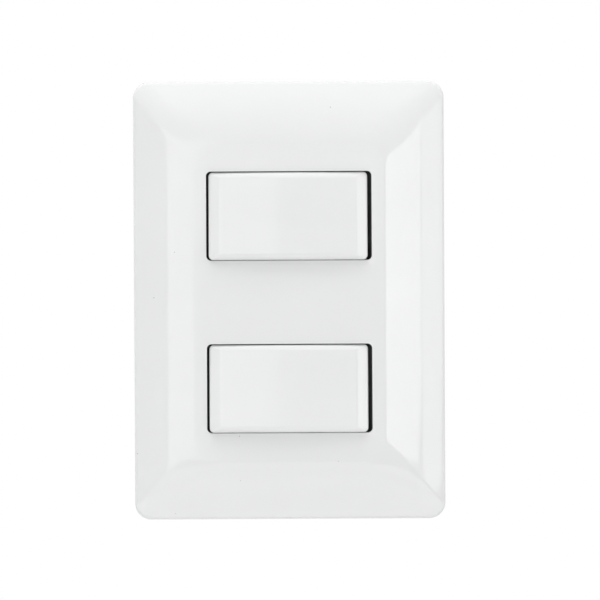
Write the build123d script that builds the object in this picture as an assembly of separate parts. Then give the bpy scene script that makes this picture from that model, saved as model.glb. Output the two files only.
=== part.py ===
from build123d import *
import math
import os

# Two rocker switches behind one clip-on cover plate, for a wall box with two screws.
# Every piece is drawn as it lies on a bench, face up: x to the right, y up the wall
# and z out of the wall, in millimetres. The last step stands the whole upright, so that
# the front faces -Y and the wall plane is Y = 0.

# Cover plate
plate_width = 85.0
plate_height = 120.0
plate_rise = 8.5            # flat front above the wall
plate_wall = 2.0
plate_corner = 4.5          # corners of the outline
window_margin = 4.1         # flat front beside the windows; the domed band takes the rest
crease_angle = 6.0          # slope of the band where it meets the flat front
rim_height = 2.36           # upright rim, below the band
rim_round = 1.6
plate_slip_x = 0.24         # play taken up by the clips, as the gaps show it
plate_slip_y = 0.10

# Windows
window_width = 44.8
window_height = 24.4
window_corner = 1.3
window_edge = 0.3
window_pitch = 47.3

# Rockers
rocker_side_gap = 0.7
rocker_end_gap = 0.26
rocker_stand = 3.0          # face above the hinge axis
rocker_wall = 1.5
rocker_skirt = 2.6          # side walls below the hinge axis
rocker_corner = 1.2
crown_radius = 390.0        # face, from side to side
bevel_width = 3.0           # slanted left and right margins of the face
bevel_slope = 20.0
bevel_soft = 2.0            # rounding where a margin leaves the face
bevel_edge = 0.5            # rounding where it meets the side wall
bevel_wall = 1.0
crown_end = 1.4             # rounding of the top and bottom edges
rocker_tilt = 4.5           # each way from level
axis_drop = 1.3             # hinge axis below the flat front
pin_radius = 1.2
pin_play = 0.05
stiffener_width = 1.0
stiffener_depth = 1.6
stiffener_x = 9.0

# Plunger and its spring, inside the rocker's tube
tube_wall = 1.3
tube_length = 10.0          # below the hinge axis
plunger_radius = 2.0
plunger_play = 0.1
plunger_head = 4.0
plunger_reach = 14.0        # hinge axis to the tip
nose_radius = 1.3
nose_length = 4.6
nose_bevel = 0.9
spring_wire = 0.22          # middle to corner of the square wire
spring_turns = 3.0
spring_play = 0.05
cap_over_bore = 2.0         # material left above the tube's bore

# Strap that is screwed to the wall box
strap_margin = 5.0          # inside of the plate's edge to the strap
strap_headroom = 0.2        # least gap below the plate's hollow
strap_thickness = 2.4
strap_corner = 4.0
strap_rib_width = 1.5
strap_rib_height = 1.3
bridge_rib_y = 4.0
screw_spacing = 83.3
slot_radius = 2.1
slot_length = 6.0
screw_seat_radius = 3.6
screw_seat_depth = 0.5

# Snap hooks of the plate
hook_inset = 4.5            # strap's edge to the hook
hook_y = 30.0
hook_thickness = 1.4
hook_width = 6.0
hook_nose = 1.2
hook_foot = 0.5             # tip of the hook above the wall
ledge_thickness = 1.0
hook_seat_gap = 0.1
hook_play = 0.5
hook_flex = 1.5

# Switch housing, front half
well_side_gap = 0.8         # rocker to the well's side walls
well_end_gap = 0.5
housing_wall = 1.3
housing_drop = 0.3          # housing's rim below the plate's inner face
strap_gap = 0.2             # housing to the strap's opening
flange_side = 1.7
flange_end = 0.7
flange_thickness = 1.2
well_floor = 1.0            # level of the well's floor above the wall plane
well_floor_thickness = 1.6
port_x = 4.5                # half size of the port for the rocker's tube
port_y = 5.5
housing_skirt = 3.4         # walls below the well's floor
cradle_thickness = 1.8
cradle_side_gap = 0.8       # rocker's inner wall to the cradle
cradle_foot = 4.2           # half width at the floor
cradle_head = 2.3           # half width at the top
cradle_top = 0.7            # above the hinge axis
cradle_mouth = 2.1
snap_width = 8.0
snap_reach = 0.9
snap_length = 2.8
snap_gap = 0.15
slit_width = 0.8

# Contacts
tip_gap = 0.15              # plunger tip to the level lever
lever_thickness = 1.2
lever_width = 6.0
lever_long_arm = 9.5
lever_short_arm = 5.5
lever_tilt = 7.0
fulcrum_radius = 0.6
fulcrum_play = 0.1
fulcrum_height = 4.3
contact_y = -7.5
contact_side = 3.0
contact_thickness = 0.8
contact_bevel = 0.4
contact_gap = 0.08

# Terminals
strip_thickness = 1.0
strip_width = 5.0
strip_bend = 1.0            # bend radius at the middle of the strip
leg_play = 0.1
leg_inset = 5.3             # screw's axis to the leg
tab_gap = 0.8               # tab's end to the pocket's wall
tab_width = 9.0
screw_inset = 4.7           # tab's end to the screw's axis
screw_radius = 1.75
screw_play = 0.05
screw_head_radius = 3.0
screw_head_height = 2.2
screw_depth = 3.0           # thread beyond the tab
driver_slot_width = 0.8
driver_slot_depth = 1.0
clamp_length = 8.0
clamp_margin = 0.8          # flat of the clamp beyond the screw's head
clamp_thickness = 1.0
clamp_lip = 1.2
clamp_hole_play = 0.2

# Rear half of the housing
base_lip = 1.2              # height of the lip inside the front half
base_lip_gap = 0.1
base_lip_thickness = 1.2
chamber_web = 4.0           # between the chamber's floor and the wire pockets
pocket_depth = 6.5
pocket_lead = 1.2           # pocket beyond the leg
pocket_end_wall = 1.5
pocket_side_wall = 3.2
base_corner = 2.0

# Levels and sizes that follow from the values above
axis_level = plate_rise - axis_drop
border_width = (plate_width - window_width) / 2 - window_margin
border_slope = math.atan((plate_rise - rim_height) / border_width)
inner_rise = plate_rise - plate_wall
rocker_width = window_width - 2 * rocker_side_gap
rocker_swing = window_height / 2 - rocker_end_gap
well_width = rocker_width + 2 * well_side_gap
well_height = 2 * (rocker_swing + well_end_gap)
housing_width = well_width + 2 * housing_wall
housing_height = well_height + 2 * housing_wall
housing_top = inner_rise - housing_drop
well_underside = well_floor - well_floor_thickness
split_level = well_underside - housing_skirt
strap_width = plate_width - 2 * (plate_wall + strap_margin)
strap_height = plate_height - 2 * (plate_wall + strap_margin)
hook_x = strap_width / 2 - hook_inset
bore_radius = plunger_radius + plunger_play
tube_radius = bore_radius + tube_wall
bore_top = rocker_stand - cap_over_bore
tip_level = axis_level - plunger_reach
fulcrum_level = tip_level - tip_gap - lever_thickness
chamber_floor = fulcrum_level - fulcrum_height - strip_thickness
pocket_ceiling = chamber_floor - chamber_web
base_back = pocket_ceiling - pocket_depth
tab_face = pocket_ceiling - strip_thickness
clamp_face = tab_face - clamp_thickness
pocket_outer_x = housing_width / 2 - pocket_end_wall
tab_end = pocket_outer_x - tab_gap
screw_x = tab_end - screw_inset
leg_x = screw_x - leg_inset
pocket_inner_x = leg_x - pocket_lead
pocket_y = housing_height / 2 - pocket_side_wall


def slab(width, height, corner, low, high):
    return Pos(0, 0, low) * extrude(RectangleRounded(width, height, corner), high - low)


def block(x, y, z):
    middle = Pos((x[0] + x[1]) / 2, (y[0] + y[1]) / 2, (z[0] + z[1]) / 2)
    return middle * Box(x[1] - x[0], y[1] - y[0], z[1] - z[0])


def rod(radius, low, high):
    return Pos(0, 0, (low + high) / 2) * Cylinder(radius, high - low)


def bar_along_x(outline, low, high):
    return Pos(low, 0, 0) * extrude(Plane.YZ * outline, high - low, dir=(1, 0, 0))


def bar_along_y(outline, low, high):
    return Pos(0, low, 0) * extrude(Plane.XZ * outline, high - low, dir=(0, 1, 0))


def at_both_sides(piece):
    return piece + mirror(piece, about=Plane.YZ)


def arch(half, shrink):
    # Section across the plate: upright rims, and an arc from each rim up to the flat front.
    slightest = math.radians(crease_angle)
    steepest = 2 * border_slope - slightest
    border = border_width - shrink
    radius = border / (math.sin(steepest) - math.sin(slightest))
    points = []
    for slope in (slightest, border_slope, steepest):
        x = half - border + radius * (math.sin(slope) - math.sin(slightest))
        points.append((x, plate_rise - shrink - radius * (math.cos(slightest) - math.cos(slope))))
    mirrored = [(-x, z) for x, z in points]
    outline = [ThreePointArc(*points), ThreePointArc(*mirrored), Line(mirrored[0], points[0])]
    outline.append(Polyline(points[2], (half, 0), (-half, 0), mirrored[2]))
    section = make_face(outline)
    if shrink > 0:
        return section
    rims = section.vertices().filter_by_position(Axis.Y, 0.9 * rim_height, 1.1 * rim_height)
    return fillet(rims, rim_round)


def dome(shrink):
    # The plate's outer form, or with the wall as shrink its hollow. Two arched bars cross, so the
    # borders meet in mitres, and the same arch turned about an upright axis rounds each corner.
    half_x = plate_width / 2 - shrink
    half_y = plate_height / 2 - shrink
    corner = plate_corner - shrink
    across = bar_along_y(arch(half_x, shrink), -half_y, half_y)
    body = across & bar_along_x(arch(half_y, shrink), -half_x, half_x)
    rim = arch(half_x, shrink) & Pos(half_x, 0) * Rectangle(2 * corner, 3 * plate_rise)
    post = revolve(Plane.XZ * (Pos(corner - half_x, 0) * rim), axis=Axis.Z)
    for side_x in (-1, 1):
        for side_y in (-1, 1):
            x = sorted((side_x * (half_x - corner), side_x * (half_x + 1)))
            y = sorted((side_y * (half_y - corner), side_y * (half_y + 1)))
            body -= block(x, y, (-1, plate_rise + 1))
            body += Pos(side_x * (half_x - corner), side_y * (half_y - corner), 0) * post
    return body


def snap_hook():
    inner = hook_x - hook_thickness / 2
    outer = hook_x + hook_thickness / 2
    catch = strap_thickness - ledge_thickness - hook_seat_gap
    outline = Polygon(
        (inner, plate_rise),
        (inner, hook_foot),
        (outer, hook_foot),
        (outer + hook_nose, catch),
        (outer, catch),
        (outer, plate_rise),
        align=None,
    )
    return bar_along_y(outline, -hook_width / 2, hook_width / 2)


def cover_plate():
    outside = dome(0)
    plate = outside - dome(plate_wall)
    for side in (-1, 1):
        middle = Pos(0, side * window_pitch / 2, 0)
        plate -= middle * slab(window_width, window_height, window_corner, 0, plate_rise + 1)
    front = plate.edges().filter_by_position(Axis.Z, plate_rise - 0.01, plate_rise + 0.01)
    inside_flat = window_width / 2 + 0.1
    rims = [edge for edge in front if abs(edge.center().X) < inside_flat]
    reach = (window_pitch + window_height) / 2 + 0.1
    rims = [edge for edge in rims if abs(edge.center().Y) < reach]
    plate = chamfer(rims, window_edge)
    hooks = at_both_sides(snap_hook()) & outside
    for side in (-1, 1):
        plate += Pos(0, side * hook_y, 0) * hooks
    return Pos(plate_slip_x, plate_slip_y, 0) * plate


def hook_slot():
    # Open at the front, and wider behind the ledge that the hook's nose catches.
    inner = hook_x - hook_thickness / 2 - hook_flex
    outer = hook_x + hook_thickness / 2 + hook_play
    width = hook_width / 2 + hook_play
    under = strap_thickness - ledge_thickness
    opening = block((inner, outer), (-width, width), (-1, strap_thickness + 1))
    return opening + block((inner, outer + hook_nose), (-width, width), (-1, under))


def mounting_bracket():
    strap = slab(strap_width, strap_height, strap_corner, 0, strap_thickness)
    top = strap_thickness + strap_rib_height
    inset = 2 * strap_rib_width
    ring = slab(strap_width, strap_height, strap_corner, strap_thickness, top)
    ring -= slab(strap_width - inset, strap_height - inset, strap_corner - strap_rib_width, 0, top + 1)
    strap += ring
    opening_x = housing_width / 2 + strap_gap
    opening_y = housing_height / 2 + strap_gap
    rib_end = strap_width / 2 - strap_rib_width
    for side in (-1, 1):
        rib_y = side * bridge_rib_y
        rib_span = (rib_y - strap_rib_width / 2, rib_y + strap_rib_width / 2)
        strap += block((-rib_end, rib_end), rib_span, (strap_thickness, top))
        middle = Pos(0, side * window_pitch / 2, 0)
        opening = block((-opening_x, opening_x), (-opening_y, opening_y), (-1, top + 1))
        strap -= middle * opening
        screw_place = Pos(0, side * screw_spacing / 2, -1)
        slot = SlotOverall(slot_length, 2 * slot_radius, rotation=90)
        strap -= screw_place * extrude(slot, strap_thickness + 2)
        seat_length = slot_length + 2 * (screw_seat_radius - slot_radius)
        seat = SlotOverall(seat_length, 2 * screw_seat_radius, rotation=90)
        seat_place = Pos(0, side * screw_spacing / 2, strap_thickness - screw_seat_depth)
        strap -= seat_place * extrude(seat, 2 * screw_seat_depth)
        strap -= Pos(0, side * hook_y, 0) * at_both_sides(hook_slot())
    return strap & dome(plate_wall + strap_headroom)


def below_bevel(side, shrink):
    # Section under the slanted margin on one side of the face.
    x = rocker_width / 2 - bevel_width
    level = rocker_stand - crown_radius + math.sqrt(crown_radius ** 2 - x ** 2)
    under = Pos(0, -rocker_width - shrink) * Rectangle(4 * rocker_width, 2 * rocker_width)
    return Pos(side * x, level) * Rot(0, 0, -side * bevel_slope) * under


def rocker_form(shrink, bevel_shrink):
    # The cap's outer form, or with its walls as the shrinks its hollow: where three simple forms
    # meet. The end walls follow the swing about the hinge axis, so the gap stays even as the
    # rocker tips.
    top = rocker_stand - shrink
    swing = rocker_swing - shrink
    half = rocker_width / 2 - shrink
    middle = (top - rocker_skirt) / 2
    depth = top + rocker_skirt
    ends = Circle(swing) & Pos(0, middle) * Rectangle(3 * swing, depth)
    crown = Pos(0, rocker_stand - crown_radius) * Circle(crown_radius - shrink)
    sides = Pos(0, middle) * Rectangle(2 * half, depth) & crown
    sides &= below_bevel(1, bevel_shrink)
    sides &= below_bevel(-1, bevel_shrink)
    if shrink > 0:
        return bar_along_x(ends, -half, half) & bar_along_y(sides, -2 * swing, 2 * swing)
    sides = fillet(sides.vertices().sort_by(Axis.Y)[-2:], bevel_soft)
    sides = fillet(sides.vertices().sort_by(Axis.Y)[2:4], bevel_edge)
    ends = fillet(ends.vertices().sort_by(Axis.Y)[-2:], crown_end)
    outline = slab(2 * half, 2 * swing, rocker_corner, -rocker_skirt - 1, rocker_stand + 1)
    return bar_along_x(ends, -half - 1, half + 1) & bar_along_y(sides, -2 * swing, 2 * swing) & outline


def rocker():
    cap = rocker_form(0, 0) - rocker_form(rocker_wall, bevel_wall)
    inner_wall = rocker_width / 2 - rocker_wall
    pin_end = inner_wall - cradle_side_gap - cradle_thickness - pin_play
    pin = Rot(0, 90, 0) * rod(pin_radius, pin_end, inner_wall + rocker_wall / 2)
    cap += at_both_sides(pin)
    underside = rocker_stand - rocker_wall
    inner_end = rocker_swing - rocker_wall
    rib = block(
        (stiffener_x - stiffener_width / 2, stiffener_x + stiffener_width / 2),
        (-inner_end, inner_end),
        (underside - stiffener_depth, underside + rocker_wall / 2),
    )
    cap += at_both_sides(rib)
    cap += rod(tube_radius, -tube_length, underside + rocker_wall / 2)
    return cap - rod(bore_radius, -tube_length - 1, bore_top)


def plunger():
    shoulder = nose_length - plunger_reach
    nose = rod(nose_radius, -plunger_reach, shoulder + plunger_head / 2)
    nose = chamfer(nose.edges().group_by(Axis.Z)[0], nose_bevel)
    return nose + rod(plunger_radius, shoulder, shoulder + plunger_head)


def plunger_spring():
    low = nose_length - plunger_reach + plunger_head + spring_wire + spring_play
    high = bore_top - spring_wire - spring_play
    coil = bore_radius - plunger_play - spring_wire
    path = Pos(0, 0, low) * Helix((high - low) / spring_turns, high - low, coil)
    section = Plane(origin=path @ 0, z_dir=path % 0) * RegularPolygon(spring_wire, 4)
    return sweep(section, path=path, is_frenet=True)


def on_rocker(piece):
    # At rest the top end is pressed in and the bottom end stands proud.
    return Pos(0, 0, axis_level) * Rot(-rocker_tilt, 0, 0) * piece


def cradle():
    # Cheek inside the rocker, with an open-topped bearing that the pin snaps into.
    outer = rocker_width / 2 - rocker_wall - cradle_side_gap
    top = axis_level + cradle_top
    outline = Polygon(
        (-cradle_foot, well_floor - well_floor_thickness / 2),
        (cradle_foot, well_floor - well_floor_thickness / 2),
        (cradle_head, top),
        (-cradle_head, top),
        align=None,
    )
    outline -= Pos(0, axis_level) * Circle(pin_radius + pin_play)
    outline -= Pos(0, top) * Rectangle(cradle_mouth, 2 * cradle_top)
    return bar_along_x(outline, outer - cradle_thickness, outer)


def snap_wedge():
    # Springs out behind the strap when the switch is pushed in from the front.
    wall = housing_width / 2
    outline = Polygon(
        (wall - housing_wall / 2, -snap_gap),
        (wall + snap_reach, -snap_gap),
        (wall, -snap_gap - snap_length),
        (wall - housing_wall / 2, -snap_gap - snap_length),
        align=None,
    )
    return bar_along_y(outline, -snap_width / 2, snap_width / 2)


def switch_housing():
    body = slab(housing_width, housing_height, base_corner, split_level, housing_top)
    x = (-well_width / 2, well_width / 2)
    y = (-well_height / 2, well_height / 2)
    body -= block(x, y, (well_floor, housing_top + 1))
    body -= block(x, y, (split_level - 1, well_underside))
    body -= block((-port_x, port_x), (-port_y, port_y), (well_underside - 1, well_floor + 1))
    flange_top = strap_thickness + flange_thickness
    flange_width = housing_width + 2 * flange_side
    flange_height = housing_height + 2 * flange_end
    flange = slab(flange_width, flange_height, base_corner, strap_thickness, flange_top)
    body += flange - block(x, y, (0, flange_top + 1))
    body += at_both_sides(cradle())
    body += at_both_sides(snap_wedge())
    slit_y = snap_width / 2 + slit_width / 2
    slit_x = (well_width / 2 - housing_wall / 2, housing_width / 2 + 1)
    for side in (-1, 1):
        slit_span = (side * slit_y - slit_width / 2, side * slit_y + slit_width / 2)
        slit = block(slit_x, slit_span, (split_level - 1, well_underside))
        body -= at_both_sides(slit)
    return body


def strip(points, y, width):
    # Sheet strip bent along its centre line, which runs through (x, z) points.
    corners = [(x, y, z) for x, z in points]
    path = FilletPolyline(*corners, radius=strip_bend)
    section = Plane(origin=path @ 0, x_dir=(0, 1, 0), z_dir=path % 0)
    return sweep(section * Rectangle(width, strip_thickness), path=path)


def screw_hole():
    return rod(screw_radius + screw_play, tab_face - 1, pocket_ceiling + 1)


def common_terminal():
    foot = chamber_floor + strip_thickness / 2
    tab = tab_face + strip_thickness / 2
    start = -lever_width / 2
    piece = strip([(start, foot), (leg_x, foot), (leg_x, tab), (tab_end, tab)], 0, strip_width)
    tab_start = leg_x + strip_bend + strip_thickness / 2
    piece += block((tab_start, tab_end), (-tab_width / 2, tab_width / 2), (tab_face, pocket_ceiling))
    post = Rectangle(2 * fulcrum_radius, fulcrum_height, align=(Align.CENTER, Align.MAX))
    outline = Pos(0, fulcrum_level) * (post + Circle(fulcrum_radius))
    piece += bar_along_x(outline, -lever_width / 2, lever_width / 2)
    return piece - Pos(screw_x, 0, 0) * screw_hole()


def fixed_contact_top():
    # Lowest point of the tilted moving contact, less the gap.
    tilt = math.radians(lever_tilt)
    reach = contact_y - contact_side / 2 + contact_bevel
    drop = reach * math.sin(tilt) - contact_thickness * math.cos(tilt)
    return fulcrum_level + drop - contact_gap


def load_terminal():
    contact_strip = fixed_contact_top() - contact_thickness - strip_thickness / 2
    tab = tab_face + strip_thickness / 2
    route = [(strip_width / 2, contact_strip), (-leg_x, contact_strip), (-leg_x, tab), (-tab_end, tab)]
    piece = strip(route, contact_y, strip_width)
    tab_start = leg_x + strip_bend + strip_thickness / 2
    low = contact_y - strip_width / 2
    piece += block((-tab_end, -tab_start), (low, tab_width / 2), (tab_face, pocket_ceiling))
    return piece - Pos(-screw_x, 0, 0) * screw_hole()


def contact_tip():
    # Welded silver tip that points up from z = 0, with its upper edges bevelled.
    half = contact_side / 2
    tip = block((-half, half), (-half, half), (0, contact_thickness))
    return chamfer(tip.edges().group_by(Axis.Z)[-1], contact_bevel)


def fixed_contact():
    seat = fixed_contact_top() - contact_thickness
    return Pos(0, contact_y, seat) * contact_tip()


def on_lever(piece):
    return Pos(0, 0, fulcrum_level) * Rot(lever_tilt, 0, 0) * piece


def contact_lever():
    side = (-lever_width / 2, lever_width / 2)
    arm = block(side, (-lever_long_arm, lever_short_arm), (0, lever_thickness))
    arm -= Rot(0, 90, 0) * rod(fulcrum_radius + fulcrum_play, -lever_width, lever_width)
    return on_lever(arm)


def moving_contact():
    return on_lever(Pos(0, contact_y, 0) * Rot(180, 0, 0) * contact_tip())


def terminal_screw():
    head = rod(screw_head_radius, clamp_face - screw_head_height, clamp_face)
    slot_floor = clamp_face - screw_head_height + driver_slot_depth
    half = driver_slot_width / 2
    head -= block((-screw_head_radius, screw_head_radius), (-half, half), (slot_floor - 2, slot_floor))
    return head + rod(screw_radius, clamp_face - 0.5, pocket_ceiling + screw_depth - strip_thickness)


def clamp_plate():
    # Square washer whose two side lips turn away from the tab to guide the wire in.
    flat = screw_head_radius + clamp_margin
    half = flat + clamp_lip
    outline = Polygon(
        (-flat, tab_face),
        (flat, tab_face),
        (half, tab_face - clamp_lip),
        (half - clamp_thickness / 2, clamp_face - clamp_lip),
        (flat - clamp_thickness / 2, clamp_face),
        (-flat + clamp_thickness / 2, clamp_face),
        (-half + clamp_thickness / 2, clamp_face - clamp_lip),
        (-half, tab_face - clamp_lip),
        align=None,
    )
    piece = bar_along_x(outline, -clamp_length / 2, clamp_length / 2)
    return piece - rod(screw_radius + clamp_hole_play, clamp_face - 1, tab_face + 1)


def at_both_screws(piece):
    return Pos(-screw_x, 0, 0) * piece + Pos(screw_x, 0, 0) * piece


def leg_slot(side, y, foot):
    # Slot for a terminal's leg, with room for the bend above it and the bend below it.
    half = strip_thickness / 2 + leg_play
    bend = strip_bend + half
    span = (y - strip_width / 2 - leg_play, y + strip_width / 2 + leg_play)
    slot = block((leg_x - half, leg_x + half), span, (pocket_ceiling - 1, foot + strip_thickness))
    slot += block((leg_x - bend, leg_x), span, (foot - bend, foot + strip_thickness))
    slot += block((leg_x, leg_x + bend), span, (pocket_ceiling - 1, tab_face + bend))
    return slot if side > 0 else mirror(slot, about=Plane.YZ)


def rear_base():
    body = slab(housing_width, housing_height, base_corner, base_back, split_level)
    lip_x = well_width / 2 - base_lip_gap
    lip_y = well_height / 2 - base_lip_gap
    lip_top = split_level + base_lip
    body += block((-lip_x, lip_x), (-lip_y, lip_y), (split_level - 1, lip_top))
    chamber_x = lip_x - base_lip_thickness
    chamber_y = lip_y - base_lip_thickness
    body -= block((-chamber_x, chamber_x), (-chamber_y, chamber_y), (chamber_floor, lip_top + 1))
    pad_top = fixed_contact_top() - contact_thickness - strip_thickness
    pad_y = (contact_y - strip_width / 2, contact_y + strip_width / 2)
    body += block((-leg_x, strip_width / 2), pad_y, (chamber_floor - 1, pad_top))
    body -= leg_slot(1, 0, chamber_floor)
    body -= leg_slot(-1, contact_y, pad_top)
    for side in (-1, 1):
        pocket_x = sorted((side * pocket_inner_x, side * pocket_outer_x))
        body -= block(pocket_x, (-pocket_y, pocket_y), (base_back - 1, pocket_ceiling))
    pilot = rod(screw_radius + clamp_hole_play, pocket_ceiling - 1, pocket_ceiling + screw_depth)
    return body - at_both_screws(pilot)


def write(name, piece):
    upright = Rot(90, 0, 0) * piece
    export_step(upright, "parts/" + name + ".step")


os.makedirs("parts", exist_ok=True)
write("cover_plate", cover_plate())
write("mounting_bracket", mounting_bracket())
switch_pieces = {
    "rocker": on_rocker(rocker()),
    "plunger": on_rocker(plunger()),
    "plunger_spring": on_rocker(plunger_spring()),
    "switch_housing": switch_housing(),
    "rear_base": rear_base(),
    "contact_lever": contact_lever(),
    "moving_contact": moving_contact(),
    "fixed_contact": fixed_contact(),
    "common_terminal": common_terminal(),
    "load_terminal": load_terminal(),
    "terminal_screws": at_both_screws(terminal_screw()),
    "clamp_plates": at_both_screws(clamp_plate()),
}
for place, side in (("upper", 1), ("lower", -1)):
    for name, piece in switch_pieces.items():
        write(place + "_" + name, Pos(0, side * window_pitch / 2, 0) * piece)
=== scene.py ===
import math

import bpy
import numpy as np
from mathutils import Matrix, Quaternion, Vector


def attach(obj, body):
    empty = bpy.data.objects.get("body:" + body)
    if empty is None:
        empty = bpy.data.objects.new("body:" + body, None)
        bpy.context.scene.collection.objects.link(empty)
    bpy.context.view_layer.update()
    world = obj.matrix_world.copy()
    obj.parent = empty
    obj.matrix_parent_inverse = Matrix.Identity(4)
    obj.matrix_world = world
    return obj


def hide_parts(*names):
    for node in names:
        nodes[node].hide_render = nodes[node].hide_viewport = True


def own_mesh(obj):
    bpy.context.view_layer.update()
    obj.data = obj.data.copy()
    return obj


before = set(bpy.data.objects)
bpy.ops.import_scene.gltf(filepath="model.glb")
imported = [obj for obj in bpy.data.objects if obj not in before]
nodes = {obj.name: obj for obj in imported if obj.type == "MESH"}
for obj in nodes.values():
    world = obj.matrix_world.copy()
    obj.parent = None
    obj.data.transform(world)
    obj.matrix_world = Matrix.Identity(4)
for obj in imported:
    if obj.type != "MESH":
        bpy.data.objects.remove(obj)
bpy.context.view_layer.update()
print("frame loaded")

millimetre = 0.001
weldDigits = 4  # points that agree to this many places, in millimetres, become one
halfTurn = [-1, -1, 1]  # half a turn about z, which leaves faces pointing outwards
places = {"upper": 1, "lower": -1}  # each switch, and the side of the middle that it is on


def toRow(points):
    # Surfaces are worked out on the bench, in millimetres: x right, y up the wall, z out of the wall.
    return np.stack([points[..., 0], -points[..., 2], points[..., 1]], axis=-1) * millimetre


def gridQuads(rows, columns):
    # A grid of rows by columns whose last column joins the first.
    r, c = np.meshgrid(np.arange(rows - 1), np.arange(columns), indexing="ij")
    n = (c + 1) % columns
    corners = [r * columns + c, r * columns + n, (r + 1) * columns + n, (r + 1) * columns + c]
    return np.stack(corners, axis=-1).reshape(-1, 4)


def surfaceObject(name, grids, sharpAngle):
    # Ring grids welded into one mesh where their points meet; quads that collapse become triangles.
    points = np.concatenate([grid.reshape(-1, 3) for grid in grids])
    starts = np.cumsum([0] + [grid.shape[0] * grid.shape[1] for grid in grids])
    quads = np.concatenate([gridQuads(*grid.shape[:2]) + start for grid, start in zip(grids, starts)])
    near = np.round(points, weldDigits)
    first, inverse = np.unique(near, axis=0, return_index=True, return_inverse=True)[1:]
    quads = inverse.reshape(-1)[quads]
    flat = (quads == np.roll(quads, 1, axis=1)).any(axis=1)
    halves = np.concatenate([quads[flat][:, [0, 1, 2]], quads[flat][:, [0, 2, 3]]])
    halves = halves[(halves != np.roll(halves, 1, axis=1)).all(axis=1)]
    mesh = bpy.data.meshes.new(name)
    mesh.from_pydata(toRow(points[first]).tolist(), [], quads[~flat].tolist() + halves.tolist())
    mesh.validate()
    mesh.shade_smooth()
    mesh.set_sharp_from_angle(angle=math.radians(sharpAngle))
    made = bpy.data.objects.new(name, mesh)
    bpy.context.scene.collection.objects.link(made)
    return made


def roundedLoop(halfX, halfY, radii, counts):
    # Counter-clockwise round a rectangle from its right side, each corner an arc of its own radius
    # and each side divided evenly.
    signs = [(1, 1), (-1, 1), (-1, -1), (1, -1)]
    arcs = []
    for k, (sx, sy) in enumerate(signs):
        turn = np.radians(np.linspace(90 * k, 90 * k + 90, counts["corner"] + 1))
        x = sx * (halfX - radii[k]) + radii[k] * np.cos(turn)
        y = sy * (halfY - radii[k]) + radii[k] * np.sin(turn)
        arcs.append(np.stack([x, y], axis=-1))
    loop = []
    for k, steps in enumerate((counts["x"], counts["y"], counts["x"], counts["y"])):
        share = np.linspace(0, 1, steps + 1)[1:-1, None]
        loop += [arcs[k], arcs[k][-1] * (1 - share) + arcs[(k + 1) % 4][0] * share]
    return np.concatenate(loop)


def raised(loop, level):
    # A loop in x and y lifted to one level, or each of its points to a level of its own.
    return np.column_stack([loop, np.broadcast_to(level, len(loop))])


def prism(outline, low, high):
    # An outline in x and z drawn out along y, with both ends closed on their middle.
    face = np.array(outline)
    middle = np.broadcast_to(face.mean(axis=0), face.shape)
    rings = [(middle, high), (face, high), (face, low), (middle, low)]
    return np.stack([np.column_stack([p[:, 0], np.full(len(p), y), p[:, 1]]) for p, y in rings])


def turned(radii, levels, columns):
    # A profile of radius and level turned about the upright axis.
    angle = np.linspace(0, 2 * math.pi, columns, endpoint=False)
    radius = np.array(radii)[:, None]
    level = np.broadcast_to(np.array(levels)[:, None], (len(levels), columns))
    return np.stack([radius * np.cos(angle), radius * np.sin(angle), level], axis=-1)


# Cover plate: an upright rim, a rounded shoulder, a border that follows one arc up to the flat front,
# and two windows; behind it the hollow follows the same arch, one wall thickness in, with four snap hooks.
plate = {
    "halfX": 42.5, "halfY": 60.0, "rise": 8.5, "wall": 2.0, "border": 16.0, "rimHeight": 2.36,
    "rimRound": 1.6, "creaseAngle": 6.0, "creaseRound": 6.0, "outerCorner": 4.5, "innerCorner": 7.0,
    "slip": (0.24, 0.10),  # play taken up by the hooks, to the right and up
    "windowX": 22.6, "windowY": 12.2, "windowCorner": 1.3, "windowEdge": 0.25, "pitch": 47.3,
    "hookX": 31.0, "hookY": 30.0, "hookThick": 1.4, "hookWidth": 6.0, "hookNose": 1.2,
    "hookFoot": 0.5, "hookCatch": 1.3, "hookRoot": 6.3, "sharpAngle": 32,
}
plateRings = {"rim": 5, "shoulder": 12, "arc": 34, "crease": 7, "hollow": 14, "flat": 7, "windowEdge": 6}
wholeCounts = {"x": 26, "y": 36, "corner": 16}
halfCounts = {"x": 26, "y": 18, "corner": 16}
creaseSlope = math.radians(plate["creaseAngle"])
borderSlope = math.atan((plate["rise"] - plate["rimHeight"]) / plate["border"])
rimSlope = 2 * borderSlope - creaseSlope
arcSpan = math.sin(rimSlope) - math.sin(creaseSlope)


def plateLoop(inset, level, wall=0.0):
    # A contour of the plate, inset from its outline. Its corners open evenly from the rim's radius to the
    # crease's; the hollow starts one wall further in, with corners smaller by that wall.
    share = np.clip((inset - wall) / (plate["border"] - wall), 0, 1)
    low = plate["outerCorner"] - wall
    corner = low + (plate["innerCorner"] - low) * share
    loop = roundedLoop(plate["halfX"] - inset, plate["halfY"] - inset, [corner] * 4, wholeCounts)
    return raised(loop, level)


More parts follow.
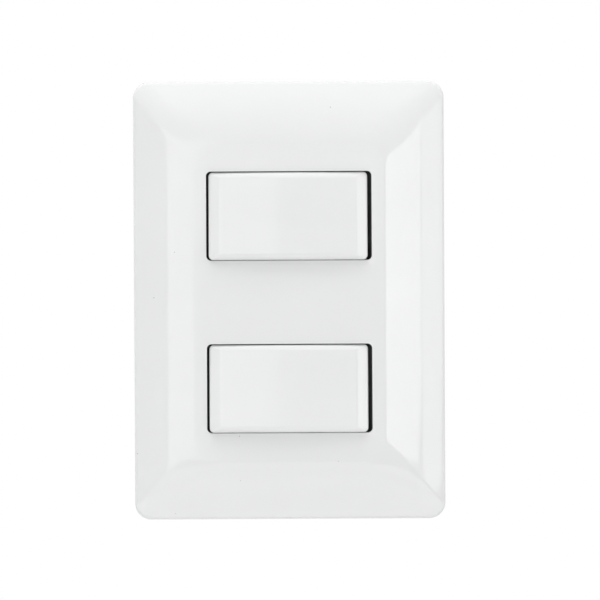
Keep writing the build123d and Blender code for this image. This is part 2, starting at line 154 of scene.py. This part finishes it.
def outerProfile():
    # Inset and level from the wall to the flat: the rim, the shoulder arc that is tangent to the rim and
    # to the border's arc, the border's arc, and a soft crease that ends level with the flat.
    radius = plate["border"] / arcSpan
    shoulder, crease = plate["rimRound"], plate["creaseRound"]
    sink = crease * (1 - math.cos(creaseSlope))
    arcInset = plate["border"] + radius * math.sin(creaseSlope)
    arcLevel = plate["rise"] - sink - radius * math.cos(creaseSlope)
    reach = arcInset - shoulder
    shoulderLevel = arcLevel + math.sqrt((radius - shoulder) ** 2 - reach ** 2)
    meet = math.asin(reach / (radius - shoulder))
    rim = np.linspace(0, shoulderLevel, plateRings["rim"])[:-1]
    turn = np.linspace(math.pi / 2, meet, plateRings["shoulder"])
    slope = np.linspace(meet, creaseSlope, plateRings["arc"])[1:]
    soft = np.linspace(creaseSlope, 0, plateRings["crease"])[1:]
    creaseEnd = plate["border"] + crease * math.sin(creaseSlope)
    inset = [np.zeros_like(rim), shoulder - shoulder * np.sin(turn), arcInset - radius * np.sin(slope)]
    inset.append(creaseEnd - crease * np.sin(soft))
    level = [rim, shoulderLevel + shoulder * np.cos(turn), arcLevel + radius * np.cos(slope)]
    level.append(plate["rise"] - crease * (1 - np.cos(soft)))
    return np.concatenate(inset), np.concatenate(level)


def hollowProfile():
    # Inset and level from the inner flat down the arch, and straight down to the wall plane.
    radius = (plate["border"] - plate["wall"]) / arcSpan
    slope = np.linspace(creaseSlope, rimSlope, plateRings["hollow"])
    inset = plate["border"] - radius * (np.sin(slope) - math.sin(creaseSlope))
    level = plate["rise"] - plate["wall"] - radius * (math.cos(creaseSlope) - np.cos(slope))
    return np.append(inset, plate["wall"]), np.append(level, 0.0)


def windowLoop(side, outset):
    # The outline of one window, grown by an outset.
    corner = plate["windowCorner"] + outset
    loop = roundedLoop(plate["windowX"] + outset, plate["windowY"] + outset, [corner] * 4, halfCounts)
    return loop + [0, side * plate["pitch"] / 2]


def flatPatch(side, inset, level, window):
    # Half of the flat round one window: each ring is part way from the half's outline to the window's.
    corner = plate["innerCorner"]
    halfX = plate["halfX"] - inset
    halfY = (plate["halfY"] - inset) / 2
    radii = [corner, corner, 0, 0] if side > 0 else [0, 0, corner, corner]
    outline = roundedLoop(halfX, halfY, radii, halfCounts) + [0, side * halfY]
    share = np.linspace(0, 1, plateRings["flat"])[:, None, None]
    rings = outline * (1 - share) + window * share
    return np.concatenate([rings, np.full(rings.shape[:2] + (1,), level)], axis=-1)


def windowGrid(side):
    # From the flat round a quarter arc into the window, then straight back through the wall.
    edge = plate["windowEdge"]
    turn = np.linspace(0, math.pi / 2, plateRings["windowEdge"])
    outsets, drops = edge * (1 - np.sin(turn)), edge * (1 - np.cos(turn))
    rings = [raised(windowLoop(side, out), plate["rise"] - drop) for out, drop in zip(outsets, drops)]
    rings.append(raised(windowLoop(side, 0), plate["rise"] - plate["wall"]))
    return np.stack(rings)


def hookGrid():
    # The section of a snap hook, a leg with a nose at its foot and its root in the plate's wall, along y.
    inner = plate["hookX"] - plate["hookThick"] / 2
    outer = plate["hookX"] + plate["hookThick"] / 2
    foot, catch, root = plate["hookFoot"], plate["hookCatch"], plate["hookRoot"]
    nose = (outer + plate["hookNose"], catch)
    outline = [(inner, root), (inner, foot), (outer, foot), nose, (outer, catch), (outer, root)]
    return prism(outline, -plate["hookWidth"] / 2, plate["hookWidth"] / 2)


def plateGrids():
    # The outside, the hollow out to the rim's foot, the front and back of the flat round each window with
    # the window's wall between them, and the hooks, all moved by the slip.
    inset, level = outerProfile()
    grids = [np.stack([plateLoop(i, z) for i, z in zip(inset, level)])]
    hollow = [plateLoop(i, z, plate["wall"]) for i, z in zip(*hollowProfile())]
    grids.append(np.stack(hollow + [plateLoop(0.0, 0.0)]))
    back = plate["rise"] - plate["wall"]
    for side in places.values():
        grids.append(flatPatch(side, inset[-1], plate["rise"], windowLoop(side, plate["windowEdge"])))
        grids.append(windowGrid(side))
        grids.append(flatPatch(side, plate["border"], back, windowLoop(side, 0))[::-1])
    hook = hookGrid()
    for side in places.values():
        height = [0, side * plate["hookY"], 0]
        grids += [hook + height, hook * halfTurn + height]
    return [grid + [*plate["slip"], 0] for grid in grids]


coverPlate = surfaceObject("coverPlate", plateGrids(), plate["sharpAngle"])
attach(coverPlate, "switch_body")
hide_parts("cover_plate")
print("cover plate made")


# Rocker: a cap that is crowned from side to side, with slanted margins left and right, ends that follow
# the swing about its hinge, an open underside, the plunger's tube, two pins and two stiffening ribs.
# Drawn level with the hinge axis at the origin.
cap = {
    "halfX": 21.7, "swing": 12.06, "stand": 2.99, "skirt": 2.6, "wall": 1.5, "crown": 390.0,
    "bevelWidth": 3.0, "bevelSlope": 17.3, "bevelSoft": 2.0, "bevelEdge": 0.8, "endRound": 1.9,
    "corner": 1.2, "mitreRound": 0.35, "hollowCorner": 0.6,
    "tilt": 4.5, "axis": 7.2,  # the hinge axis above the wall plane
    "tube": 3.4, "bore": 2.1, "boreTop": 1.0, "tubeEnd": 10.0, "pin": 1.2, "pinEnd": 17.55,
    "ribX": 9.0, "ribWidth": 1.0, "ribDepth": 1.6, "sharpAngle": 40,
}
capCounts = {"x": 60, "y": 30, "corner": 8}
capRings = {"margin": 9, "end": 18, "wall": 9, "skirt": 7, "face": 16, "under": 6}
tubeColumns, pinColumns = 40, 28
lean = math.radians(cap["tilt"])


def sideProfile():
    # Drop and inset of the left and right margins, measured from the crowned face and the side wall: an
    # arc that leaves the face, the slant, and a tight arc into the wall.
    slope = math.radians(cap["bevelSlope"])
    soft, tight = cap["bevelSoft"], cap["bevelEdge"]
    leave = np.linspace(0, slope, capRings["margin"])
    enter = np.linspace(slope, math.pi / 2, capRings["margin"])
    start = cap["bevelWidth"] + soft * math.tan(slope / 2)
    foot = cap["bevelWidth"] * math.tan(slope) + tight * math.tan((math.pi / 2 - slope) / 2)
    drop = np.concatenate([soft * (1 - np.cos(leave)), foot - tight * np.cos(enter)])
    inset = np.concatenate([start - soft * np.sin(leave), tight - tight * np.sin(enter)])
    return drop, inset


def endProfile(marginDrop, height):
    # Drop and inset of the top and bottom ends: the rounded edge, tangent to the face and to the swing's
    # circle, then down that circle past the foot of the margins to the skirt.
    swing, edge = cap["swing"], cap["endRound"]
    level = cap["stand"] - edge
    middle = math.sqrt((swing - edge) ** 2 - level ** 2)
    around = np.linspace(math.pi / 2, math.atan2(level, middle), capRings["end"])
    drop = edge * (1 - np.sin(around))
    wall = np.linspace(drop[-1], marginDrop, capRings["wall"])[1:]
    skirt = np.linspace(marginDrop, height, capRings["skirt"])[1:]
    low = np.concatenate([wall, skirt])
    onCircle = swing - np.sqrt(swing ** 2 - (cap["stand"] - low) ** 2)
    inset = np.concatenate([swing - middle - edge * np.cos(around), onCircle])
    return np.concatenate([drop, low]), inset


def capLoop(insetX, insetY, corner, drop, crownShare):
    # One contour of the cap: a rectangle at one drop below the face, which itself falls away as x squared.
    loop = roundedLoop(cap["halfX"] - insetX, cap["swing"] - insetY, [corner] * 4, capCounts)
    return raised(loop, cap["stand"] - crownShare * loop[:, 0] ** 2 / (2 * cap["crown"]) - drop)


def capGrid():
    # Contours from the middle of the hollow out to the skirt, up the walls and in to the middle of the
    # face. Both profiles are read at the same drop, so the margins and the rounded ends meet in a mitre.
    height = cap["stand"] + cap["skirt"]
    sideDrop, sideInset = sideProfile()
    drop, insetY = endProfile(sideDrop[-1], height)
    insetX = np.interp(drop, sideDrop, sideInset)
    corner = np.interp(drop, [0, sideDrop[-1]], [cap["mitreRound"], cap["corner"]])
    crownShare = np.interp(drop, [sideDrop[-1], height], [1, 0])
    outer = [capLoop(*row) for row in zip(insetX, insetY, corner, drop, crownShare)]
    room = cap["swing"] - insetY[0]
    face = [capLoop(insetX[0] + step, insetY[0] + step, min(corner[0], room - step), 0, 1)
            for step in room * np.linspace(0, 1, capRings["face"])[1:]]
    thick, inner = cap["wall"], cap["hollowCorner"]
    endInset = insetY[-1] + thick
    hollow = cap["swing"] - insetY[-1] - thick
    under = [capLoop(thick + step, endInset + step, min(inner, hollow - step), thick, 1)
             for step in hollow * np.linspace(1, 0, capRings["under"])]
    under.append(capLoop(thick, endInset, inner, height, 0))
    return np.stack(under + outer[::-1] + face)


def tubeGrid(root):
    # The bore's blind end, down the bore, round the tube's mouth and up its outside to the root.
    radii = [0, cap["bore"], cap["bore"], cap["tube"], cap["tube"]]
    levels = [cap["boreTop"], cap["boreTop"], -cap["tubeEnd"], -cap["tubeEnd"], root]
    return turned(radii, levels, tubeColumns)


def pinGrid():
    # A pin turned about z, from its end to its root in the side wall, and laid along x.
    root = cap["halfX"] - cap["wall"] / 2
    pin = turned([0, cap["pin"], cap["pin"]], [cap["pinEnd"], cap["pinEnd"], root], pinColumns)
    return np.stack([pin[..., 2], pin[..., 1], -pin[..., 0]], axis=-1)


def ribGrid(root):
    # A rectangle below the face, drawn out from end wall to end wall.
    foot = cap["stand"] - cap["wall"] - cap["ribDepth"]
    inner, outer = cap["ribX"] - cap["ribWidth"] / 2, cap["ribX"] + cap["ribWidth"] / 2
    reach = cap["swing"] - cap["wall"]
    return prism([(inner, root), (inner, foot), (outer, foot), (outer, root)], -reach, reach)


def standRocker(grid, side):
    # From the level rocker with its hinge at the origin to its place in the switch, at rest.
    up = grid[..., 1] * math.cos(lean) + grid[..., 2] * math.sin(lean) + side * plate["pitch"] / 2
    out = grid[..., 2] * math.cos(lean) - grid[..., 1] * math.sin(lean) + cap["axis"]
    return np.stack([grid[..., 0], up, out], axis=-1)


def rockerGrids(side):
    # The cap, and the tube, pins and ribs, whose roots all end inside the cap's wall.
    root = cap["stand"] - cap["wall"] / 2
    pin, rib = pinGrid(), ribGrid(root)
    grids = [capGrid(), tubeGrid(root), pin, pin * halfTurn, rib, rib * halfTurn]
    return [standRocker(grid, side) for grid in grids]


# Plunger spring: a round wire wound on a helix whose end turns lie closed. The real spring shortens as
# the plunger slides into its tube; this coil is drawn at one length.
spring = {
    "low": -5.13, "high": 0.73, "coil": 1.78, "wire": 0.2, "turns": 7.0, "endTurns": 1.0,
    "endPitch": 2.2,  # rise of an end turn, in wire radii
    "stroke": 0.8, "sharpAngle": 60,
}
springRings, springColumns = 200, 10


def springGrid():
    # The height follows the angle turned, slowly over the end turns; each ring of the wire stands square
    # to the helix, on the outward direction and the one square to it and to the run. Both ends close on
    # a point.
    turns = np.linspace(0, spring["turns"], springRings)
    closed, pitch = spring["endTurns"], spring["endPitch"] * spring["wire"]
    knots = [0, closed, spring["turns"] - closed, spring["turns"]]
    levels = [spring["low"], spring["low"] + pitch, spring["high"] - pitch, spring["high"]]
    level = np.interp(turns, knots, levels)
    angle = 2 * math.pi * turns
    outward = np.stack([np.cos(angle), np.sin(angle), np.zeros_like(angle)], axis=-1)
    path = outward * spring["coil"] + np.stack([0 * level, 0 * level, level], axis=-1)
    run = np.gradient(path, axis=0)
    run /= np.linalg.norm(run, axis=-1, keepdims=True)
    across = np.cross(run, outward)
    around = np.linspace(0, 2 * math.pi, springColumns, endpoint=False)[None, :, None]
    ring = np.cos(around) * outward[:, None] + np.sin(around) * across[:, None]
    rings = path[:, None] + spring["wire"] * ring
    first = np.broadcast_to(path[0], rings[:1].shape)
    last = np.broadcast_to(path[-1], rings[:1].shape)
    return np.concatenate([first, rings, last])


rockers, springs = {}, {}
for place, side in places.items():
    rocker = surfaceObject(place + "Rocker", rockerGrids(side), cap["sharpAngle"])
    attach(rocker, place + "_rocker")
    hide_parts(place + "_rocker")
    rockers[place] = rocker
    coil = surfaceObject(place + "Spring", [standRocker(springGrid(), side)], spring["sharpAngle"])
    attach(coil, place + "_rocker")
    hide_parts(place + "_plunger_spring")
    springs[place] = coil
print("rockers and springs made")


# Materials: each takes its detail from noise in Object coordinates, whose unit is the metre.
grain = {"colourDetail": 4, "roughScale": 2.3, "roughDetail": 3, "bumpDetail": 2, "bumpStrength": 0.3}


def material(name):
    # A new node material, with its tree and its shader.
    made = bpy.data.materials.new(name)
    made.use_nodes = True
    tree = made.node_tree
    return made, tree, tree.nodes["Principled BSDF"]


def noise(tree, scale, detail, stretch=(1, 1, 1)):
    # Noise in Object coordinates, finer along an axis whose stretch is above 1 and longer below it.
    place = tree.nodes.new("ShaderNodeTexCoord")
    mapping = tree.nodes.new("ShaderNodeMapping")
    mapping.inputs["Scale"].default_value = stretch
    texture = tree.nodes.new("ShaderNodeTexNoise")
    texture.inputs["Scale"].default_value = scale
    texture.inputs["Detail"].default_value = detail
    tree.links.new(place.outputs["Object"], mapping.inputs["Vector"])
    tree.links.new(mapping.outputs["Vector"], texture.inputs["Vector"])
    return texture.outputs["Fac"]


def spread(tree, source, low, high, start=0.3, end=0.7):
    # A value between start and end carried to one between low and high. Noise lies mostly in 0.3 to 0.7.
    ramp = tree.nodes.new("ShaderNodeMapRange")
    for key, value in (("From Min", start), ("From Max", end), ("To Min", low), ("To Max", high)):
        ramp.inputs[key].default_value = value
    tree.links.new(source, ramp.inputs["Value"])
    return ramp.outputs["Result"]


def blendColour(tree, share, first, second):
    # Two colours mixed by a share from 0 to 1.
    mix = tree.nodes.new("ShaderNodeMix")
    mix.data_type = "RGBA"
    mix.inputs["A"].default_value = (*first, 1)
    mix.inputs["B"].default_value = (*second, 1)
    tree.links.new(share, mix.inputs["Factor"])
    return mix.outputs["Result"]


def bump(tree, shader, source, depth):
    # Relief that is depth metres high where the source is 1.
    node = tree.nodes.new("ShaderNodeBump")
    node.inputs["Strength"].default_value = grain["bumpStrength"]
    node.inputs["Distance"].default_value = depth
    tree.links.new(source, node.inputs["Height"])
    tree.links.new(node.outputs["Normal"], shader.inputs["Normal"])


def surface(name, first, second, scale, rough, metal=0,
            bumpDepth=0.00002, bumpScale=2500, stretch=(1, 1, 1)):
    # A finish that drifts between two colours and two roughnesses, over a fine bump.
    made, tree, shader = material(name)
    shader.inputs["Metallic"].default_value = metal
    share = spread(tree, noise(tree, scale, grain["colourDetail"], stretch), 0, 1)
    tree.links.new(blendColour(tree, share, first, second), shader.inputs["Base Color"])
    patches = noise(tree, scale * grain["roughScale"], grain["roughDetail"], stretch)
    tree.links.new(spread(tree, patches, *rough), shader.inputs["Roughness"])
    bump(tree, shader, noise(tree, bumpScale, grain["bumpDetail"], stretch), bumpDepth)
    return made


def speckled(made, scale, reach, dark):
    # Sparse dust: the colour darkens within reach, in cell widths, of the scattered cell points.
    tree = made.node_tree
    shader = tree.nodes["Principled BSDF"]
    place = tree.nodes.new("ShaderNodeTexCoord")
    cells = tree.nodes.new("ShaderNodeTexVoronoi")
    cells.inputs["Scale"].default_value = scale
    tree.links.new(place.outputs["Object"], cells.inputs["Vector"])
    mix = tree.nodes.new("ShaderNodeMix")
    mix.data_type = "RGBA"
    mix.inputs["B"].default_value = (*dark, 1)
    tree.links.new(shader.inputs["Base Color"].links[0].from_socket, mix.inputs["A"])
    tree.links.new(spread(tree, cells.outputs["Distance"], 1, 0, 0.5 * reach, reach), mix.inputs["Factor"])
    tree.links.new(mix.outputs["Result"], shader.inputs["Base Color"])


whiteGloss = surface("whiteGloss", (0.776, 0.7845, 0.781), (0.794, 0.8025, 0.799), 55, (0.035, 0.055),
                     bumpDepth=0.000003, bumpScale=700, stretch=(0.4, 1, 1))
speckled(whiteGloss, 140, 0.022, (0.3, 0.27, 0.22))
strapGrey = surface("strapGrey", (0.36, 0.37, 0.38), (0.42, 0.43, 0.44), 160, (0.4, 0.52))
blackMoulding = surface("blackMoulding", (0.008, 0.008, 0.0085), (0.014, 0.014, 0.0145), 220, (0.38, 0.52))
baseMoulding = surface("baseMoulding", (0.02, 0.02, 0.021), (0.03, 0.03, 0.031), 240, (0.42, 0.56))
naturalNylon = surface("naturalNylon", (0.7, 0.68, 0.6), (0.76, 0.74, 0.67), 300, (0.35, 0.45))
springSteel = surface("springSteel", (0.5, 0.5, 0.5), (0.62, 0.62, 0.62), 900, (0.25, 0.38), 1)
brass = surface("brass", (0.62, 0.43, 0.16), (0.74, 0.54, 0.22), 260, (0.25, 0.4), 1,
                bumpDepth=0.00001, bumpScale=1800, stretch=(1, 1, 7))
silverContact = surface("silverContact", (0.78, 0.77, 0.74), (0.88, 0.87, 0.85), 700, (0.2, 0.35), 1)
platedSteel = surface("platedSteel", (0.58, 0.59, 0.58), (0.7, 0.71, 0.7), 420, (0.22, 0.36), 1,
                      bumpDepth=0.00001)


def paint(target, finish):
    target.data.materials.clear()
    target.data.materials.append(finish)


for piece in (coverPlate, *rockers.values()):
    paint(piece, whiteGloss)
for place, piece in springs.items():
    paint(piece, springSteel)
    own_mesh(piece)

finishes = {
    "mounting_bracket": (strapGrey, "strap_grey"),
    "switch_housing": (blackMoulding, "black_moulding"), "rear_base": (baseMoulding, "black_moulding"),
    "plunger": (naturalNylon, "natural_nylon"), "contact_lever": (brass, "brass"),
    "common_terminal": (brass, "brass"), "load_terminal": (brass, "brass"),
    "moving_contact": (silverContact, "silver_contact"), "fixed_contact": (silverContact, "silver_contact"),
    "terminal_screws": (platedSteel, "plated_steel"), "clamp_plates": (platedSteel, "plated_steel"),
}
edges = {
    "rounds": {"switch_housing": 0.3, "rear_base": 0.3},  # millimetres; the other pieces stay crisp
    "segments": 2, "roundAngle": 35, "crispAngle": 32, "join": 0.005,
}


def softenEdges(node, width):
    # The loose triangles are joined. A moulding then gets a small round along its hard edges, and a
    # pressed or turned part keeps them crisp, with its curved faces smooth.
    weld = node.modifiers.new("weld", "WELD")
    weld.merge_threshold = edges["join"] * millimetre
    if width == 0:
        crisp = node.modifiers.new("crisp", "EDGE_SPLIT")
        crisp.split_angle = math.radians(edges["crispAngle"])
        return
    edge = node.modifiers.new("edge", "BEVEL")
    edge.width = width * millimetre
    edge.segments = edges["segments"]
    edge.limit_method = "ANGLE"
    edge.angle_limit = math.radians(edges["roundAngle"])
    edge.harden_normals = True


for name, node in nodes.items():
    kind = name.split("_", 1)[1] if name.split("_")[0] in places else name
    if kind in finishes:
        finish, slot = finishes[kind]
        paint(node, finish)
        node.data.shade_smooth()
        softenEdges(node, edges["rounds"].get(kind, 0))
print("materials set")


# Stage, in metres: a pale floor below the view and an almost even white dome. The camera, reflections and
# clear surfaces see the dome as plain white.
stage = {
    "floorLevel": -0.3, "floorSide": 3.0, "floorFront": -1.2, "floorBack": 2.2, "floorRough": 0.8,
    "floorColours": ((0.86, 0.86, 0.86), (0.88, 0.88, 0.88)), "patchScale": 3, "patchDetail": 2,
    "domeLow": 0.785, "domeHigh": 0.825,  # strength at the horizon and overhead
}
floorMaterial, floorTree, floorShader = material("floorPale")
floorShade = spread(floorTree, noise(floorTree, stage["patchScale"], stage["patchDetail"]), 0, 1)
floorColour = blendColour(floorTree, floorShade, *stage["floorColours"])
floorTree.links.new(floorColour, floorShader.inputs["Base Color"])
floorShader.inputs["Roughness"].default_value = stage["floorRough"]
corners = [(x, y, stage["floorLevel"]) for x, y in (
    (-stage["floorSide"], stage["floorFront"]), (stage["floorSide"], stage["floorFront"]),
    (stage["floorSide"], stage["floorBack"]), (-stage["floorSide"], stage["floorBack"]))]
floorMesh = bpy.data.meshes.new("floor")
floorMesh.from_pydata(corners, [], [(0, 1, 2, 3)])
floor = bpy.data.objects.new("floor", floorMesh)
bpy.context.scene.collection.objects.link(floor)
paint(floor, floorMaterial)

world = bpy.data.worlds.new("studio")
bpy.context.scene.world = world
world.use_nodes = True
sky = world.node_tree
skyBack = sky.nodes["Background"]
skyBack.inputs["Color"].default_value = (1, 1, 1, 1)
skyPath = sky.nodes.new("ShaderNodeLightPath")
skyPlace = sky.nodes.new("ShaderNodeTexCoord")
skySplit = sky.nodes.new("ShaderNodeSeparateXYZ")
sky.links.new(skyPlace.outputs["Generated"], skySplit.inputs["Vector"])
dome = spread(sky, skySplit.outputs["Z"], stage["domeLow"], stage["domeHigh"], 0.0, 1.0)
seen = skyPath.outputs["Is Camera Ray"]
for ray in ("Is Glossy Ray", "Is Transmission Ray"):
    either = sky.nodes.new("ShaderNodeMath")
    either.operation = "MAXIMUM"
    sky.links.new(seen, either.inputs[0])
    sky.links.new(skyPath.outputs[ray], either.inputs[1])
    seen = either.outputs["Value"]
skyLevel = sky.nodes.new("ShaderNodeMix")
skyLevel.inputs["B"].default_value = 1
sky.links.new(seen, skyLevel.inputs["Factor"])
sky.links.new(dome, skyLevel.inputs["A"])
sky.links.new(skyLevel.outputs["Result"], skyBack.inputs["Strength"])


# Lights. Panels stand parallel to the wall between two azimuths and two elevations, in degrees, and low
# panels lie just above the floor between two depths. Both only show as reflections, along the borders and
# the rockers' margins, and so does the flat glow, a small panel straight ahead. Softboxes, by azimuth and
# elevation, light the switch and leave no reflection. The last number of each is its brightness.
panels = {
    "leftPanel": ((-36.5, -10), (-16, 6.5), 1.4), "leftInnerPanel": ((-10, -1), (-13, 9), 0.85),
    "rightPanel": ((12, 47), (-7, 1), 2.65), "rightUpperPanel": ((37, 45), (1, 8), 2.0),
    "rightFarPanel": ((48, 74), (-13, 9), 1.95),
}
lowPanels = {"lowPanel": (-0.42, -0.06, 1.8), "lowFarPanel": (-0.9, -0.42, 1.1)}
softboxes = {"keyLight": (-25, 68, 4.7), "fillLight": (40, 55, 1.0)}
flatGlow = {"place": (0, -1.0, -0.02), "size": (0.2, 0.06), "radiance": 0.55}
rig = {"panelDistance": 3, "lowLevel": -0.29, "lowWidth": 1.6, "boxDistance": 2, "boxSize": (1.2, 0.8)}


def areaLight(name, place, toward, size, radiance):
    # An area light of a given brightness seen from the front, whatever its size.
    data = bpy.data.lights.new(name, "AREA")
    data.shape = "RECTANGLE"
    data.size, data.size_y = size
    data.energy = radiance * math.pi * size[0] * size[1]
    made = bpy.data.objects.new(name, data)
    made.location = place
    made.rotation_mode = "QUATERNION"
    made.rotation_quaternion = Vector(toward).to_track_quat("-Z", "Y")
    made.visible_camera = False
    bpy.context.scene.collection.objects.link(made)
    return made


def glowPanel(name, place, toward, size, radiance):
    # A light that shows in reflections and casts no light of its own.
    areaLight(name, place, toward, size, radiance).visible_diffuse = False


for name, (azimuth, elevation, radiance) in panels.items():
    x = [rig["panelDistance"] * math.tan(math.radians(a)) for a in azimuth]
    z = [rig["panelDistance"] * math.tan(math.radians(e)) for e in elevation]
    middle = ((x[0] + x[1]) / 2, -rig["panelDistance"], (z[0] + z[1]) / 2)
    glowPanel(name, middle, (0, 1, 0), (x[1] - x[0], z[1] - z[0]), radiance)
for name, (front, back, radiance) in lowPanels.items():
    middle = (0, (front + back) / 2, rig["lowLevel"])
    glowPanel(name, middle, (0, 0, 1), (rig["lowWidth"], back - front), radiance)
for name, (azimuth, elevation, radiance) in softboxes.items():
    turn, lift = math.radians(azimuth), math.radians(elevation)
    aside = Vector((math.cos(lift) * math.sin(turn), -math.cos(lift) * math.cos(turn), math.sin(lift)))
    softbox = areaLight(name, aside * rig["boxDistance"], -aside, rig["boxSize"], radiance)
    softbox.visible_glossy = False
glowPanel("flatPanel", flatGlow["place"], (0, 1, 0), flatGlow["size"], flatGlow["radiance"])
print("stage lit")


# Camera: straight on, four degrees above the middle, with a long lens and a slight roll.
view = {
    "elevation": 4.0, "roll": -0.3, "lens": 1000.0, "distance": 4.56, "clipEnd": 100,
    "aim": (0.00317, -0.004, 0.00037),
}
camera = bpy.data.objects.new("camera", bpy.data.cameras.new("camera"))
camera.data.lens = view["lens"]
camera.data.clip_end = view["clipEnd"]
rise = math.radians(view["elevation"])
away = Vector((0, -math.cos(rise), math.sin(rise)))
upright = (-away).to_track_quat("-Z", "Y")
camera.location = Vector(view["aim"]) + away * view["distance"]
camera.rotation_mode = "QUATERNION"
camera.rotation_quaternion = upright @ Quaternion((0, 0, 1), math.radians(view["roll"]))
bpy.context.scene.collection.objects.link(camera)
bpy.context.scene.camera = camera
bpy.context.scene.view_settings.view_transform = "Standard"
print("camera set")
